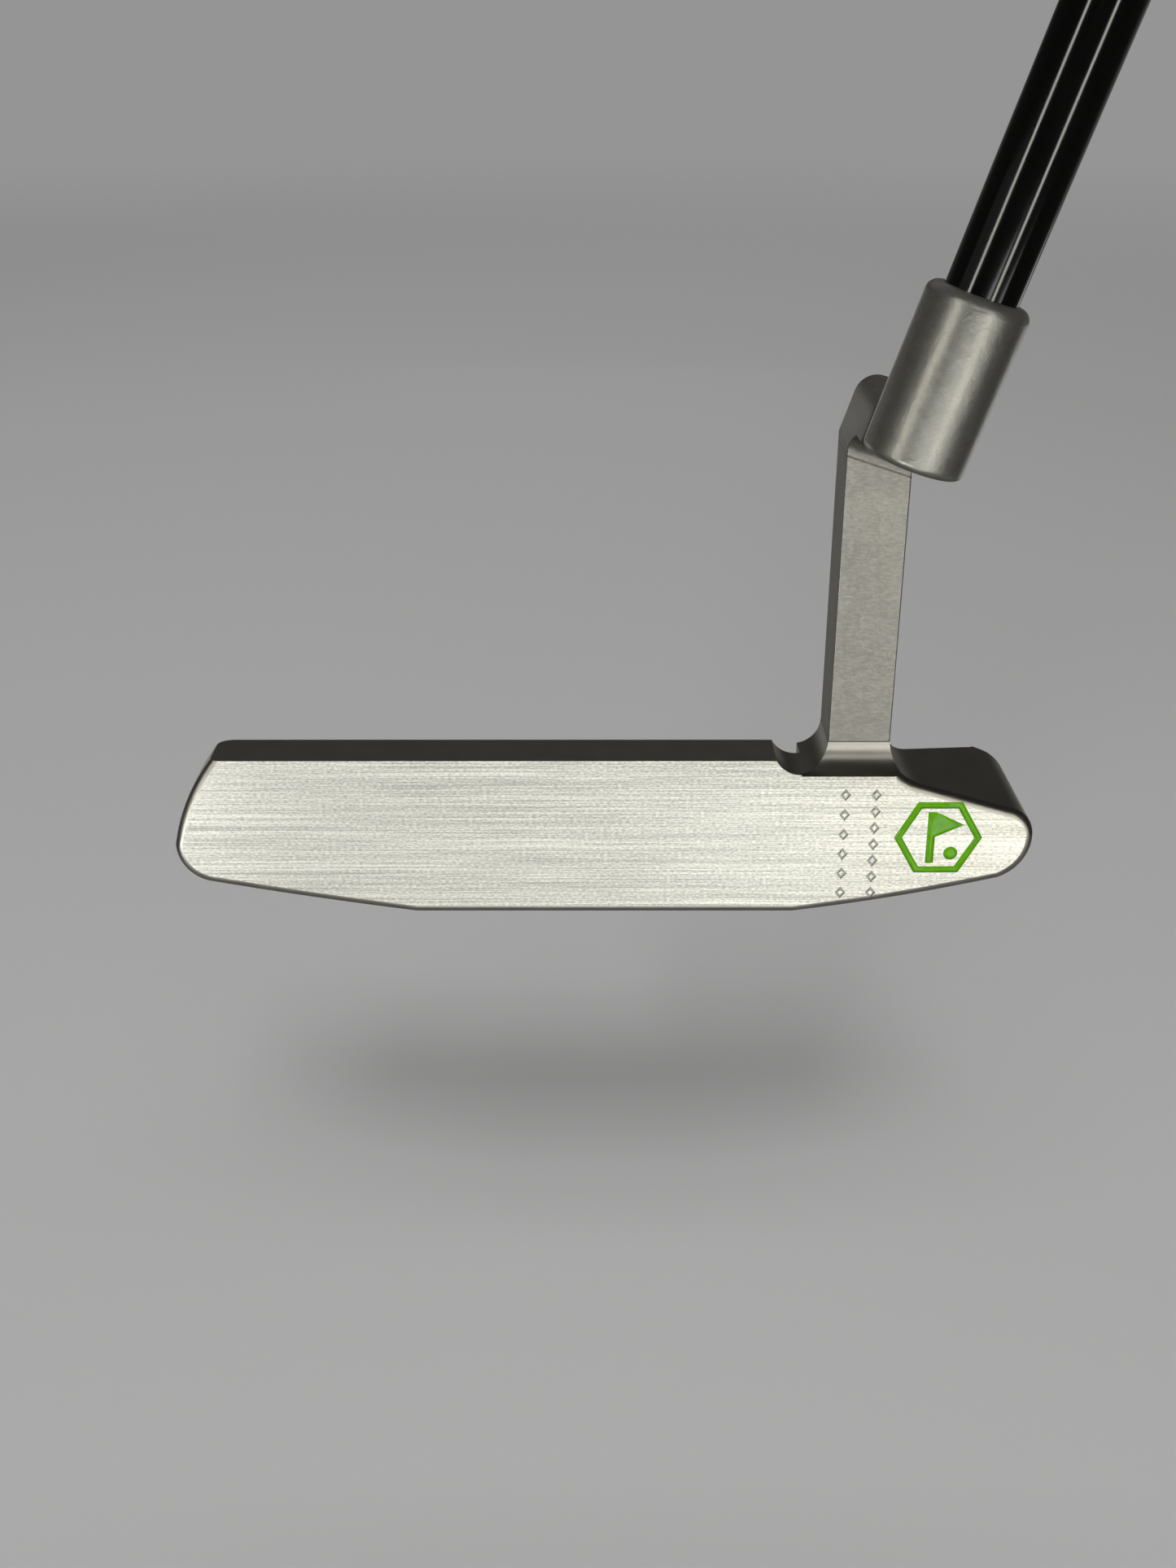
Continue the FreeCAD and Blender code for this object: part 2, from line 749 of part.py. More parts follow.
def grip_section(body, name, place):
    """A round back cut off by the flat front, square to the shaft line."""
    sizes = ["grip_%s_%s" % (place, kind) for kind in ("height", "radius", "setback", "front")]
    height, radius, setback, front = sizes
    sketch = new_sketch(body, "XY_Plane", name, shift="grip_start + " + height)
    half = "sqrt(%s ^ 2 - (%s + %s) ^ 2)" % (radius, front, setback)
    outline(sketch, [
        ("-" + front, half),
        ("-" + front, "-" + half, radius),
        ("%s + %s" % (setback, radius), "0", radius),
    ])
    return sketch


def make_grip():
    """A pistol grip: a loft through its sections, hollow for the shaft and its tape."""
    body = new_body("grip")
    put_on_shaft_line(body)
    sketches = [grip_section(body, "Section_" + place, place) for place in GRIP_SECTIONS]
    loft = body.newObject("PartDesign::AdditiveLoft", "GripLoft")
    loft.Profile = sketches[0]
    loft.Sections = sketches[1:]
    low, high = outer_radius("grip_start"), outer_radius("(shaft_end - tape_end_gap)")
    doc.recompute()
    sketch = new_sketch(body, "XZ_Plane", "GripHollow")
    outline(sketch, [
        ("0", "grip_start - 1"),
        ("%s + tape_thickness" % low, "grip_start - 1"),
        ("%s + tape_thickness" % low, "grip_start"),
        ("%s + tape_thickness" % high, "shaft_end - tape_end_gap"),
        (high, "shaft_end - tape_end_gap"),
        ("butt_radius", "shaft_end"),
        ("butt_radius", "shaft_end + 1"),
        ("0", "shaft_end + 1"),
    ])
    volume = body.Shape.Volume
    groove = body.newObject("PartDesign::Groove", "GripHollowTurn")
    groove.Profile = sketch
    groove.ReferenceAxis = (sketch, ["V_Axis"])
    groove.Angle = 360
    doc.recompute()
    if body.Shape.Volume > volume - 1:
        raise RuntimeError("the grip is not hollowed")


def make_grip_cap():
    """The cap closes the butt and has a vent in its middle."""
    body = new_body("grip_cap")
    put_on_shaft_line(body)
    sketch = grip_section(body, "CapSection", "butt")
    pad(body, sketch, "Cap", "cap_thickness")
    top = "grip_start + grip_butt_height + cap_thickness"
    round_edges(body, "CapRound", "cap_round", lambda edge: abs(middle(edge).z - amount(top)) < 1e-3)
    vent = new_sketch(body, "XY_Plane", "Vent", shift=top)
    circle(vent, "vent_radius")
    pocket(body, vent, "VentCut", "cap_thickness + 1")


make_head()
make_motif()
make_sight_line()
make_neck()
make_braze()
make_hosel_weld()
make_hosel()
make_shaft()
make_shaft_glue()
make_tip_plug()
make_grip_tape()
make_grip()
make_grip_cap()
doc.recompute()

for item in doc.Objects:
    if "Invalid" in item.State or "Error" in item.State:
        raise RuntimeError("%s is %s" % (item.Name, item.State))

os.makedirs("parts", exist_ok=True)
bodies = [item for item in doc.Objects if item.TypeId == "PartDesign::Body"]
for body in bodies:
    if body.Shape.isNull() or not body.Shape.isValid() or len(body.Shape.Solids) != 1:
        raise RuntimeError(body.Label + " is not one valid solid")
    body.Shape.exportStep("parts/%s.step" % body.Label)
    print("%-18s %10.1f mm3" % (body.Label, body.Shape.Volume))
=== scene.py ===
"""Blade putter in a plain soft studio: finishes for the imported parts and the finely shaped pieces.

Metres, in the row frame: the sole's flat is at z = 0, +X runs from toe to heel and +Y from the
striking face to the back.
"""
import json
import math

import bmesh
import bpy
from mathutils import Matrix, Vector
from mathutils.bvhtree import BVHTree


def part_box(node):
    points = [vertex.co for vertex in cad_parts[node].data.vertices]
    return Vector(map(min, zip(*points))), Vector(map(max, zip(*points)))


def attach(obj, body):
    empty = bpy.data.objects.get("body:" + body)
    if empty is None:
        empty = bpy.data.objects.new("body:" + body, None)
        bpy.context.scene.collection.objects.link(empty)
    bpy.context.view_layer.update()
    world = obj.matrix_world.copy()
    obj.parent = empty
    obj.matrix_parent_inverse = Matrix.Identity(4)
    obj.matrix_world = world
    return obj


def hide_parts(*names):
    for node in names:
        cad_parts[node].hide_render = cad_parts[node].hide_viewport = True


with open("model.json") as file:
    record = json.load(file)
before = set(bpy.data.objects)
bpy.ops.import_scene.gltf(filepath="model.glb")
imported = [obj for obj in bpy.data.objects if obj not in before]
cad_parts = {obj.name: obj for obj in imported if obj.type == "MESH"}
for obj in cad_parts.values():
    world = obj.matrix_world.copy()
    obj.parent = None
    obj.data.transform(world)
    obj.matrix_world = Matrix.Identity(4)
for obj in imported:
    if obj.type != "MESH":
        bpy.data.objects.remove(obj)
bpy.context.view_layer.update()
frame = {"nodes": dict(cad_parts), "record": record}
MM = 0.001
FACE_LOFT = math.radians(3.5)
HOLD_ABOVE_FOOT = 656.0 * MM                        # along the shaft line, from part.py
CAMERA_SPOT = Vector((-2.86 * MM, -224.43 * MM, 119.32 * MM))
CAMERA_DOWN = math.radians(24.93)
CAMERA_LENS = 38.76                                 # mm, on a sensor 36 mm along the longer side
WELD_WITHIN = 0.001 * MM                            # mesh corners closer than this are one

# ---------------------------------------------------------------- places read from the frame


def shaft_line():
    """A point on the shaft line and the line's direction, from the mount that lies on it."""
    hold = [mount for mount in frame["record"]["mounts"] if mount["name"] == "grip_hold"][0]
    return Vector(hold["pos_m"]), Vector(hold["axis"]).normalized()


HOLD, AXIS = shaft_line()
FOOT = HOLD - AXIS * HOLD_ABOVE_FOOT                # the middle of the hosel's foot
ACROSS = Vector((AXIS.z, 0.0, -AXIS.x))             # square to the shaft line, towards the heel
FACE_OUT = Vector((0.0, -math.cos(FACE_LOFT), math.sin(FACE_LOFT)))
HOSEL_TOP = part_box("hosel_sleeve")[1]


# ---------------------------------------------------------------- node helpers

class Nodes:
    """A small wrapper that adds nodes to one material's or world's tree and links them."""

    def __init__(self, tree):
        self.tree = tree
        tree.nodes.clear()

    def add(self, kind, inputs=None, **settings):
        node = self.tree.nodes.new(kind)
        for name, value in settings.items():
            setattr(node, name, value)
        for name, value in (inputs or {}).items():
            self.put(node.inputs[name], value)
        return node

    def put(self, socket, value):
        """A link where the value is another node's output, and a plain setting where it isn't."""
        if isinstance(value, bpy.types.NodeSocket):
            self.tree.links.new(value, socket)
        elif socket.type == "RGBA" and len(value) == 3:
            socket.default_value = (*value, 1.0)
        else:
            socket.default_value = value

    def place(self):
        """Where the shaded point is, in the row frame."""
        return self.add("ShaderNodeTexCoord").outputs["Object"]

    def calc(self, operation, first, second=0.0):
        inputs = {0: first, 1: second}
        return self.add("ShaderNodeMath", inputs, operation=operation).outputs[0]

    def total(self, *weighted):
        """The sum of the values, each times its weight."""
        parts = [self.calc("MULTIPLY", value, weight) for value, weight in weighted]
        result = parts[-1]
        for part in reversed(parts[:-1]):
            result = self.calc("ADD", part, result)
        return result

    def vector(self, operation, first, second=(0.0, 0.0, 0.0)):
        inputs = {0: first, 1: second}
        return self.add("ShaderNodeVectorMath", inputs, operation=operation).outputs

    def scaled(self, vector, scale, turn=(0.0, 0.0, 0.0)):
        """A vector stretched by scale after a turn about the three axes, in degrees."""
        turned = [math.radians(angle) for angle in turn]
        inputs = {"Vector": vector, "Rotation": turned, "Scale": scale}
        return self.add("ShaderNodeMapping", inputs, vector_type="POINT").outputs[0]

    def noise(self, vector, scale, detail=3.0, roughness=0.5, distortion=0.0):
        node = self.add("ShaderNodeTexNoise", {
            "Vector": vector, "Scale": scale, "Detail": detail,
            "Roughness": roughness, "Distortion": distortion})
        return node.outputs["Fac"]

    def spread(self, value, low, high, to_low=0.0, to_high=1.0, smooth=False):
        """The value's range low..high carried to to_low..to_high, and clamped there."""
        node = self.add("ShaderNodeMapRange", {
            "Value": value, "From Min": low, "From Max": high,
            "To Min": to_low, "To Max": to_high},
            interpolation_type="SMOOTHSTEP" if smooth else "LINEAR", clamp=True)
        return node.outputs[0]

    def blend(self, fac, first, second):
        """The first colour where fac is 0 and the second where it is 1."""
        node = self.add("ShaderNodeMix", data_type="RGBA", blend_type="MIX", clamp_factor=True)
        for socket, value in ((0, fac), (6, first), (7, second)):
            self.put(node.inputs[socket], value)
        return node.outputs[2]

    def bump(self, height, distance):
        inputs = {"Height": height, "Distance": distance, "Strength": 1.0}
        return self.add("ShaderNodeBump", inputs).outputs[0]


def dimmer(colour, share):
    return tuple(share * part for part in colour)


def new_material(name):
    material = bpy.data.materials.new(name)
    material.use_nodes = True
    return material, Nodes(material.node_tree)


def finish_shader(nodes, **inputs):
    """The principled shader with these inputs, joined to the material's output."""
    named = {name.replace("_", " "): value for name, value in inputs.items()}
    shader = nodes.add("ShaderNodeBsdfPrincipled", named)
    nodes.add("ShaderNodeOutputMaterial", {"Surface": shader.outputs[0]})


# ---------------------------------------------------------------- steel finishes

STEEL = (0.42, 0.41, 0.36)
NECK_STEEL = (0.29, 0.285, 0.25)
HOSEL_STEEL = (0.36, 0.355, 0.315)
STEEL_FACE = (1.0, 1.0, 0.89)


def brushed_face():
    """The striking face: long level streaks of three widths, broken up by fine specks."""
    material, nodes = new_material("brushed_face")
    place = nodes.place()
    streaks = nodes.noise(nodes.scaled(place, (20.0, 1.0, 5200.0), (0, 0.5, 0)), 1.0, 3.0, 0.6)
    fine = nodes.noise(nodes.scaled(place, (85.0, 1.0, 6800.0), (0, 0.3, 0)), 1.0, 2.0, 0.6)
    broad = nodes.noise(nodes.scaled(place, (6.0, 1.0, 320.0), (0, 0.4, 0)), 1.0, 2.0, 0.5)
    specks = nodes.noise(nodes.scaled(place, (1900.0, 1.0, 4600.0), (0, 0.3, 0)), 1.0, 1.0, 0.5)
    grain = nodes.total((streaks, 0.36), (fine, 0.22), (broad, 0.14), (specks, 0.28))
    tone = nodes.spread(grain, 0.42, 0.58)
    colour = nodes.blend(tone, dimmer(STEEL_FACE, 0.53), STEEL_FACE)
    rough = nodes.spread(grain, 0.40, 0.60, 0.44, 0.34)
    tangent = nodes.add("ShaderNodeTangent", direction_type="RADIAL", axis="X").outputs[0]
    finish_shader(nodes, Base_Color=colour, Metallic=1.0, Roughness=rough, Anisotropic=0.75,
                  Tangent=tangent, Normal=nodes.bump(grain, 0.030 * MM))
    return material


def milled_steel():
    """The rest of the head: satin, with faint cutter lines along it."""
    material, nodes = new_material("milled_steel")
    place = nodes.place()
    grit = nodes.noise(place, 5200.0, 2.0, 0.6)
    cloud = nodes.noise(place, 260.0, 3.0, 0.55)
    cutter = nodes.noise(nodes.scaled(place, (30.0, 900.0, 900.0)), 1.0, 2.0, 0.5)
    colour = nodes.blend(nodes.spread(cloud, 0.3, 0.7), dimmer(STEEL, 0.90), STEEL)
    height = nodes.calc("ADD", nodes.calc("MULTIPLY", grit, 0.5), cutter)
    finish_shader(nodes, Base_Color=colour, Metallic=1.0,
                  Roughness=nodes.spread(cloud, 0.3, 0.7, 0.30, 0.36),
                  Normal=nodes.bump(height, 0.012 * MM))
    return material


def blasted_steel(name, steel, unevenness):
    """The neck and the hosel: a soft satin with fine grit and a faint cloudiness, pitted where they
    are welded together, with painted shade in the crease where the arm meets the hosel, and a tool's
    witness line below the arm."""
    hosel_edge = 6.62 * MM
    line_below_foot = 3.25 * MM
    material, nodes = new_material(name)
    place = nodes.place()
    grit = nodes.noise(place, 5000.0, 3.0, 0.65)
    dapple = nodes.noise(place, 650.0, 4.0, 0.6, 0.8)
    cloud = nodes.noise(place, 190.0, 3.0, 0.55)
    slanting = nodes.scaled(place, (1300.0, 1300.0, 4200.0), (0, 32.0, 0))
    scratch = nodes.noise(slanting, 1.0, 3.0, 0.65)
    shade = nodes.total((nodes.total((cloud, 0.4), (dapple, 0.6)), 0.5), (scratch, 0.5))

    from_foot = nodes.vector("SUBTRACT", place, FOOT)["Vector"]
    along = nodes.vector("DOT_PRODUCT", from_foot, AXIS)["Value"]
    out = nodes.vector("LENGTH", nodes.vector("CROSS_PRODUCT", from_foot, AXIS)["Vector"])["Value"]
    past_hosel = nodes.calc("GREATER_THAN", out, hosel_edge)
    # painted shade: a band on the arm beside the hosel, fading out within about 0.7 mm of its side,
    # stands in for the shade in the crease between them
    near_weld = nodes.spread(out, 6.68 * MM, 7.3 * MM, 1.0, 0.0, smooth=True)
    painted_crease_shade = nodes.calc("MULTIPLY", near_weld, past_hosel)
    pits = nodes.spread(nodes.noise(place, 1700.0, 1.0, 0.5), 0.66, 0.72)
    where_pitted = nodes.spread(out, 6.8 * MM, 7.6 * MM, 0.8, 0.0)
    pitted = nodes.calc("MULTIPLY", nodes.calc("MULTIPLY", pits, where_pitted), past_hosel)
    off_line = nodes.calc("ABSOLUTE", nodes.calc("ADD", along, line_below_foot))
    witness = nodes.spread(off_line, 0.05 * MM, 0.16 * MM, 1.0, 0.0, smooth=True)
    darkening = nodes.calc("MAXIMUM", pitted, nodes.calc("MULTIPLY", witness, 0.55))
    # the painted crease shade joins the pits and the witness line at 0.55 strength
    darkening = nodes.calc("MAXIMUM", nodes.calc("MULTIPLY", painted_crease_shade, 0.55), darkening)

    plain = nodes.blend(nodes.spread(shade, 0.40, 0.60), dimmer(steel, 1.0 - unevenness), steel)
    # the pits, the witness line and the painted crease shade all go to this dark colour
    colour = nodes.blend(darkening, plain, (0.07, 0.066, 0.058))
    rough = nodes.spread(dapple, 0.3, 0.7, 0.30, 0.37)
    rise = nodes.calc("ADD", nodes.calc("MULTIPLY", grit, 0.3), dapple)
    height = nodes.calc("SUBTRACT", rise, darkening)
    finish_shader(nodes, Base_Color=colour, Metallic=0.82, Roughness=rough,
                  Normal=nodes.bump(height, 0.045 * MM))
    return material


def gloss_black():
    """The shaft: a deep black gloss coat with a very slight orange peel."""
    material, nodes = new_material("gloss_black")
    place = nodes.place()
    peel = nodes.noise(place, 420.0, 2.0, 0.5)
    dust = nodes.noise(place, 90.0, 4.0, 0.6)
    finish_shader(nodes, Base_Color=(0.0015, 0.0014, 0.0014), Metallic=0.0,
                  Roughness=nodes.spread(dust, 0.35, 0.7, 0.09, 0.13), IOR=1.70,
                  Normal=nodes.bump(peel, 0.004 * MM))
    return material


def green_enamel():
    """Filled enamel in a clear bright green, glossy and slightly uneven."""
    material, nodes = new_material("green_enamel")
    place = nodes.place()
    pool = nodes.noise(place, 900.0, 2.0, 0.5)
    colour = nodes.blend(nodes.spread(pool, 0.3, 0.7), (0.14, 0.49, 0.0), (0.18, 0.61, 0.0))
    finish_shader(nodes, Base_Color=colour, Roughness=0.08, IOR=1.36, Specular_IOR_Level=0.30,
                  Normal=nodes.bump(pool, 0.012 * MM))
    return material


def moulded_rubber():
    """The grip: matt rubber with a fine pebble and worn, slightly shinier patches."""
    material, nodes = new_material("moulded_rubber")
    place = nodes.place()
    pebble = nodes.noise(place, 2600.0, 3.0, 0.6)
    wear = nodes.noise(place, 28.0, 4.0, 0.6)
    worn = nodes.spread(wear, 0.35, 0.7)
    colour = nodes.blend(worn, (0.036, 0.036, 0.037), (0.055, 0.055, 0.056))
    finish_shader(nodes, Base_Color=colour, Roughness=nodes.spread(wear, 0.35, 0.7, 0.52, 0.66),
                  Normal=nodes.bump(pebble, 0.06 * MM))
    return material


def plain_filler(name, low, high, roughness, metallic=0.0):
    """A simple mottled finish for the small pieces inside the joints."""
    material, nodes = new_material(name)
    place = nodes.place()
    mottle = nodes.noise(place, 900.0, 4.0, 0.6)
    colour = nodes.blend(nodes.spread(mottle, 0.3, 0.7), low, high)
    finish_shader(nodes, Base_Color=colour, Roughness=roughness, Metallic=metallic,
                  Normal=nodes.bump(mottle, 0.05 * MM))
    return material


def give(material, *names):
    """These CAD nodes get the material."""
    for name in names:
        slots = frame["nodes"][name].data.materials
        slots.clear()
        slots.append(material)


def stamp_floor_painted_shade():
    """The floors of the stamps: the same steel squeezed smooth and without the brushing, darkened
    with painted shade for the recess.
    """
    material, nodes = new_material("stamp_floor_painted_shade")
    place = nodes.place()
    crush = nodes.noise(place, 3800.0, 3.0, 0.6)
    # painted shade: the floors are darkened to 0.26 to 0.40 of the face's steel, for the shade the
    # shallow recess would hold
    colour = nodes.blend(nodes.spread(crush, 0.3, 0.7), dimmer(STEEL_FACE, 0.26),
                         dimmer(STEEL_FACE, 0.40))
    finish_shader(nodes, Base_Color=colour, Metallic=1.0, Roughness=0.38,
                  Normal=nodes.bump(crush, 0.02 * MM))
    return material


def finish_head():
    """The striking face is brushed, the floors of its stamps are crushed smooth and darkened with
    painted shade, and the rest of the head is milled. A stamp's floor is less than stamp_depth below
    the face, and the floors of the enamel's grooves are hidden."""
    brushed, stamped = 1, 2
    face_depth = 0.1 * MM
    stamp_depth = 1.0 * MM
    mesh = frame["nodes"]["blade_head"].data
    give(milled_steel(), "blade_head")
    mesh.materials.append(brushed_face())
    mesh.materials.append(stamp_floor_painted_shade())
    facing = [polygon for polygon in mesh.polygons if polygon.normal.dot(FACE_OUT) > 0.9995]
    plane = max(polygon.center.dot(FACE_OUT) for polygon in facing)
    for polygon in facing:
        depth = plane - polygon.center.dot(FACE_OUT)
        if depth < face_depth:
            polygon.material_index = brushed
        elif depth < stamp_depth:
            polygon.material_index = stamped


def finish_cad_nodes():
    finish_head()
    give(blasted_steel("satin_hosel", HOSEL_STEEL, 0.14), "hosel_sleeve")
    give(gloss_black(), "shaft")
    give(moulded_rubber(), "grip_cap")
    give(plain_filler("joint_metal", (0.30, 0.28, 0.23), (0.42, 0.39, 0.32), 0.45, 1.0),
         "neck_braze", "hosel_weld")
    give(plain_filler("cured_epoxy", (0.06, 0.055, 0.04), (0.09, 0.08, 0.06), 0.3), "shaft_epoxy")
    give(plain_filler("plug_cork", (0.38, 0.24, 0.11), (0.55, 0.38, 0.19), 0.85),
         "shaft_tip_plug")
    give(plain_filler("paper_tape", (0.52, 0.48, 0.38), (0.62, 0.58, 0.47), 0.8), "grip_tape")


# ---------------------------------------------------------------- finely shaped pieces

def new_object(name, mesh):
    made = bpy.data.objects.new(name, mesh)
    bpy.context.scene.collection.objects.link(made)
    return made


def cleaned_copy(node):
    """A bmesh of the CAD node's surface, with its doubled corners joined."""
    shape = bmesh.new()
    shape.from_mesh(frame["nodes"][node].data)
    bmesh.ops.remove_doubles(shape, verts=shape.verts, dist=WELD_WITHIN)
    return shape


def merge_flat_faces(shape, within):
    """One face in place of neighbours that are flat to each other within this many degrees."""
    bmesh.ops.dissolve_limit(shape, angle_limit=math.radians(within), verts=shape.verts,
                             edges=shape.edges)


def stand_for(node, shape, material):
    """A piece with this bmesh, shown in place of the CAD node."""
    mesh = bpy.data.meshes.new(node + "_fine")
    shape.to_mesh(mesh)
    shape.free()
    mesh.shade_smooth()
    mesh.materials.append(material)
    piece = new_object(node + "_fine", mesh)
    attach(piece, "root")
    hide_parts(node)
    return piece


def enamel_stroke(node, facing, material):
    """A painted stroke that fills its groove. Its outline is the CAD node's on the side that faces
    out; the enamel draws down at the groove's edge and domes up over its width."""
    dome_width = 0.46 * MM
    dome_height = 0.20 * MM
    edge_depth = 0.12 * MM
    fill_depth = 0.30 * MM
    steps = 7
    shape = cleaned_copy(node)
    hidden = [face for face in shape.faces if face.normal.dot(facing) < 0.99]
    bmesh.ops.delete(shape, geom=hidden, context="FACES")
    merge_flat_faces(shape, 1.0)
    rim = [edge for edge in shape.edges if edge.is_boundary]
    bmesh.ops.translate(shape, verts=shape.verts, vec=-facing * edge_depth)
    walls = bmesh.ops.extrude_edge_only(shape, edges=rim)["geom"]
    foot = [part for part in walls if isinstance(part, bmesh.types.BMVert)]
    bmesh.ops.translate(shape, verts=foot, vec=-facing * fill_depth)
    top = [face for face in shape.faces if face.normal.dot(facing) > 0.99]
    reached, risen = 0.0, 0.0
    for step in range(1, steps + 1):
        share = step / steps
        reach = dome_width * share
        rise = dome_height * share * (2.0 - share)
        bmesh.ops.inset_region(shape, faces=top, thickness=reach - reached, depth=rise - risen,
                               use_boundary=True, use_even_offset=True)
        reached, risen = reach, rise
    bmesh.ops.recalc_face_normals(shape, faces=shape.faces)
    stand_for(node, shape, material)


def eased_copy(node, ease, material):
    """The CAD node's own shape, with its sharp edges eased by a fine rounding."""
    shape = cleaned_copy(node)
    merge_flat_faces(shape, 0.5)
    least_turn = math.radians(35.0)
    sharp = [edge for edge in shape.edges if edge.calc_face_angle(0.0) > least_turn]
    bmesh.ops.bevel(shape, geom=sharp, offset=ease, offset_type="OFFSET", segments=3, profile=0.5,
                    affect="EDGES", loop_slide=True, miter_outer="ARC")
    piece = stand_for(node, shape, material)
    piece.modifiers.new("flat_faces_stay_flat", "WEIGHTED_NORMAL").keep_sharp = True


def enamel_pieces():
    """The three strokes on the striking face and the sight line on the flange."""
    enamel = green_enamel()
    for node in ("face_paint_frame", "face_paint_flag", "face_paint_ball"):
        enamel_stroke(node, FACE_OUT, enamel)
    enamel_stroke("sight_line_paint", Vector((0.0, 0.0, 1.0)), enamel)


def grip_relief(turn, height, share):
    """How deep the grip's moulding is at this turn about the shaft line from the toe side, this
    height above the grip's mouth and this share of its length: crossed grooves round the sides and
    back, and short level ribs down the flat front with a plain patch among them."""
    groove = 0.60 * MM
    pitch, rib_pitch = 4.6 * MM, 3.45 * MM
    groove_half, rib_half = 0.17, 0.28
    spokes = 16
    front_edge, groove_fade = math.radians(46.0), math.radians(3.0)
    rib_edge, rib_fade = math.radians(24.0), math.radians(2.0)
    bare_end, end_fade = 0.035, 0.012
    patch_low, patch_high = 0.60, 0.70
    ends = min(1.0, (share - bare_end) / end_fade, (1.0 - bare_end - share) / end_fade)
    if ends <= 0.0:
        return 0.0
    off_front = abs(turn) - front_edge
    if off_front > 0.0:
        around = spokes * turn / (2.0 * math.pi)
        up = 0.5 * height / pitch
        lines = [abs(value - round(value)) for value in (around + up, around - up)]
        cut = max(0.0, 1.0 - min(lines) / groove_half)
        margin = min(1.0, off_front / groove_fade)
    else:
        line = height / rib_pitch
        cut = max(0.0, 1.0 - abs(line - round(line)) / rib_half)
        margin = min(1.0, max(0.0, (rib_edge - abs(turn)) / rib_fade))
        ends *= 0.0 if patch_low < share < patch_high else 1.0
    return groove * ends * margin * cut * cut * (3.0 - 2.0 * cut)


def detailed_grip(material):
    """The rubber grip: the CAD grip's own surface, sampled ring by ring with rays, with its moulded
    relief outside and a plain bore."""
    source = frame["nodes"]["grip"].data
    tree = BVHTree.FromPolygons([corner.co for corner in source.vertices],
                                [face.vertices for face in source.polygons])
    heights = [(corner.co - FOOT).dot(AXIS) for corner in source.vertices]
    low, high = min(heights), max(heights)
    out = AXIS.cross(ACROSS)
    rings = 520
    sides = 200
    outside = 40.0 * MM
    edge = 0.6 * MM
    clear = 0.05 * MM

    def outward(turn):
        return -ACROSS * math.cos(turn) + out * math.sin(turn)

    def off_ends(height):
        return min(max(height, low + clear), high - clear)

    def surface(height, turn, inside=False):
        ray = outward(turn)
        middle = FOOT + AXIS * height
        if inside:
            return tree.ray_cast(middle, ray)[3]
        return outside - tree.ray_cast(middle + ray * outside, -ray)[3]

    shape = bmesh.new()

    def add_ring(height, radius_at):
        ring = []
        for side in range(sides):
            turn = 2.0 * math.pi * (side / sides - 0.5)
            spot = FOOT + AXIS * height + outward(turn) * radius_at(turn)
            ring.append(shape.verts.new(spot))
        return ring

    def outer(share):
        height = low + (high - low) * share
        safe = off_ends(height)
        from_end = min(height - low, high - height)
        rounding = edge - math.sqrt(max(0.0, edge ** 2 - max(0.0, edge - from_end) ** 2))

        def radius(turn):
            return surface(safe, turn) - rounding - grip_relief(turn, height - low, share)
        return add_ring(height, radius)

    loops = [outer(step / rings) for step in range(rings + 1)]
    for height in (high, 0.5 * (low + high), low):
        safe = off_ends(height)
        loops.append(add_ring(height, lambda turn: surface(safe, turn, inside=True)))
    loops.append(loops[0])
    for below, above in zip(loops, loops[1:]):
        for side in range(sides):
            after = (side + 1) % sides
            shape.faces.new((below[side], below[after], above[after], above[side]))
    bmesh.ops.recalc_face_normals(shape, faces=shape.faces)
    stand_for("grip", shape, material)


# ---------------------------------------------------------------- studio

FLOOR_Z = -100.0 * MM
ROOM_LIGHT = 0.028                                  # the room's strength, to reflections
BACKDROP = 0.30                                     # the backdrop's strength, to the eye
BACKDROP_GLEAM = 0.16                               # and to reflections


def make_floor():
    """A wide pale floor that fades into the backdrop's colour far away."""
    reach = 9.0
    fade_from, fade_to = 0.5, 2.6
    corners = [(-reach, -reach, 0), (reach, -reach, 0), (reach, reach, 0), (-reach, reach, 0)]
    mesh = bpy.data.meshes.new("studio_floor")
    mesh.from_pydata(corners, [], [(0, 1, 2, 3)])
    floor = new_object("studio_floor", mesh)
    floor.location.z = FLOOR_Z
    floor.visible_glossy = False
    floor.visible_shadow = False
    material, nodes = new_material("studio_floor")
    place = nodes.place()
    distance = nodes.vector("LENGTH", place)["Value"]
    fade = nodes.spread(distance, fade_from, fade_to, smooth=True)
    paper = nodes.add("ShaderNodeBsdfPrincipled", {
        "Base Color": (0.62, 0.62, 0.62), "Roughness": 0.9, "Specular IOR Level": 0.2})
    clear = nodes.add("ShaderNodeBsdfTransparent")
    mixed = nodes.add("ShaderNodeMixShader", {0: fade, 1: paper.outputs[0], 2: clear.outputs[0]})
    nodes.add("ShaderNodeOutputMaterial", {"Surface": mixed.outputs[0]})
    mesh.materials.append(material)


